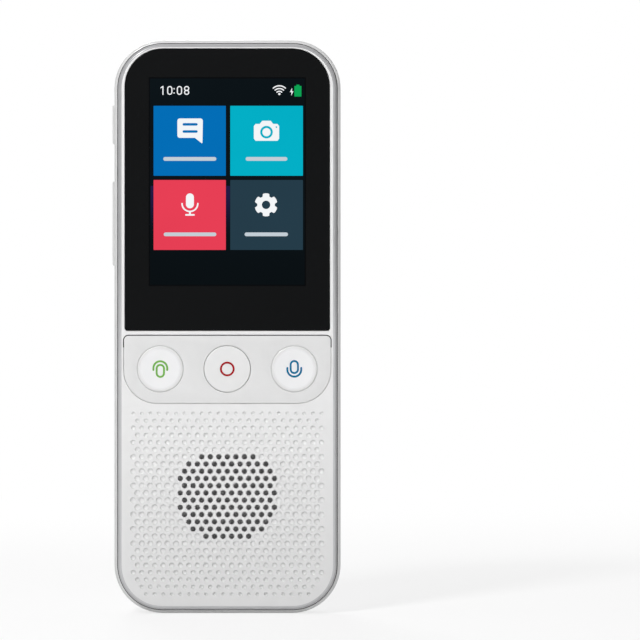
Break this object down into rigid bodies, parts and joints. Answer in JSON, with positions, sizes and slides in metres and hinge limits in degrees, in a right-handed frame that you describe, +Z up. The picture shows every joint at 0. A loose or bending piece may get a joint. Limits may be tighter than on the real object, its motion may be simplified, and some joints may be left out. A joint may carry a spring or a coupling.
{
  "type": "handheld translator",
  "caption": "Slim handheld voice translator with a colour touch screen, round talk and record keys, a dotted loudspeaker face, side keys, a USB-C socket and a rear camera.",
  "frame": {"origin": "middle of the bottom end, at half the thickness", "axes": "+Z up the long axis, the screen faces -Y, +X to the right of someone looking at the screen"},
  "size_m": [0.0544, 0.013, 0.1362],
  "materials": {
    "front_shell": "satin silver-white",
    "frame_shell": "satin silver",
    "rear_shell": "pearl white lacquer",
    "panel_plastic": "satin silver-white",
    "key_white": "gloss white",
    "black_glass": "gloss black with a clear middle",
    "window_glass": "gloss black",
    "clear_plastic": "clear",
    "lens_glass": "coated",
    "lcd_panel": "smooth",
    "diffuser": "matt",
    "bare_steel": "plain",
    "adhesive": "tape",
    "foam": "foam",
    "flex_film": "amber film",
    "board_green": "solder mask",
    "chip_black": "moulded",
    "white_nylon": "moulded",
    "wire": "insulated wire",
    "battery_film": "silver film over a lithium pouch",
    "paper_cone": "pressed paper",
    "mesh_cloth": "woven",
    "magnet_metal": "plated",
    "rubber_boot": "soft"
  },
  "bodies": {
    "housing": {"front_cover": "front_shell", "middle_frame": "frame_shell", "rear_cover": "rear_shell", "touch_glass": "black_glass", "glass_tape": "adhesive", "lcd_cell": "lcd_panel", "lcd_backlight": "diffuser", "lcd_tray": "bare_steel", "lcd_flex": "flex_film", "touch_flex": "flex_film", "button_panel": "panel_plastic", "key_switch_left": "bare_steel", "key_switch_centre": "bare_steel", "key_switch_right": "bare_steel", "power_switch": "bare_steel", "rocker_pin": "bare_steel", "volume_switch_down": "bare_steel", "volume_switch_up": "bare_steel", "main_board": "board_green", "board_screws": "bare_steel", "shield_can": "bare_steel", "processor": "chip_black", "memory_chip": "chip_black", "wireless_module": "bare_steel", "power_chip": "chip_black", "antenna": "flex_film", "antenna_lead": "wire", "battery_cell": "battery_film", "battery_tape": "adhesive", "battery_connector": "white_nylon", "battery_leads": "wire", "speaker_mesh": "mesh_cloth", "speaker_gasket": "foam", "speaker_frame": "bare_steel", "speaker_cone": "paper_cone", "speaker_coil": "chip_black", "speaker_magnet": "magnet_metal", "speaker_leads": "wire", "charge_board": "board_green", "charge_board_screws": "bare_steel", "usb_shell": "bare_steel", "usb_tongue": "chip_black", "board_link_flex": "flex_film", "bottom_microphone": "bare_steel", "bottom_microphone_boot": "rubber_boot", "top_microphone": "bare_steel", "top_microphone_boot": "rubber_boot", "camera_window": "window_glass", "camera_module": "chip_black", "camera_barrel": "chip_black", "camera_lens": "lens_glass", "camera_foam": "foam", "camera_flex": "flex_film", "flash_led": "white_nylon", "flash_light_pipe": "clear_plastic"},
    "left_key": {"key_left": "key_white"},
    "centre_key": {"key_centre": "panel_plastic"},
    "right_key": {"key_right": "key_white"},
    "power_button": {"power_key": "frame_shell"},
    "volume_button": {"volume_rocker": "frame_shell"}
  },
  "joints": [
    {"name": "left_key_press", "type": "slide", "parent": "housing", "child": "left_key", "axis": [0, 1, 0], "range_m": [0, 0.00025], "stiffness_N_per_m": 3000},
    {"name": "centre_key_press", "type": "slide", "parent": "housing", "child": "centre_key", "axis": [0, 1, 0], "range_m": [0, 0.00025], "stiffness_N_per_m": 3000},
    {"name": "right_key_press", "type": "slide", "parent": "housing", "child": "right_key", "axis": [0, 1, 0], "range_m": [0, 0.00025], "stiffness_N_per_m": 3000},
    {"name": "power_button_press", "type": "slide", "parent": "housing", "child": "power_button", "axis": [1, 0, 0], "range_m": [0, 0.00025], "stiffness_N_per_m": 3000},
    {"name": "volume_button_tilt", "type": "hinge", "parent": "housing", "child": "volume_button", "pos_m": [-0.02435, -0.0009, 0.09265], "axis": [0, 1, 0], "range_deg": [-1.2, 1.2], "stiffness_Nm_per_rad": 0.4}
  ]
}
